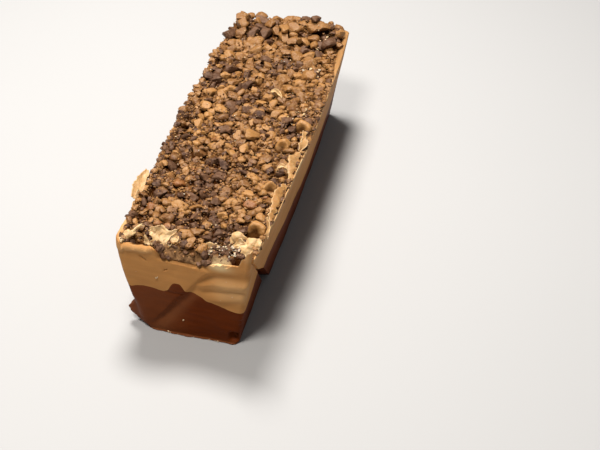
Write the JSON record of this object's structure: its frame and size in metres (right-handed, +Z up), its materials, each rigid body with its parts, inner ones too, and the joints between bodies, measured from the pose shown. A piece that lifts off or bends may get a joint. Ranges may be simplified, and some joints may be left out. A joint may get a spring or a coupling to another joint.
{
  "type": "toffee fudge loaf",
  "caption": "Moulded loaf of toffee fudge on a chocolate fudge layer, topped with crushed toffee and chocolate, with a knifed front end.",
  "frame": {"origin": "middle of the loaf's footprint, on the surface that it stands on", "axes": "+Z up, +Y along the loaf from its knifed front end to its far end, +X to the right"},
  "size_m": [0.113, 0.3366, 0.1002],
  "materials": {
    "chocolate_fudge": "satin, smooth",
    "toffee_fudge": "satin, smooth",
    "crushed_topping": "rough, broken",
    "pale_fudge": "satin, torn"
  },
  "bodies": {
    "root": {"chocolate_layer": "chocolate_fudge", "toffee_layer": "toffee_fudge", "topping": "crushed_topping", "fudge_flake_left": "pale_fudge", "fudge_flake_right": "pale_fudge"}
  },
  "joints": []
}
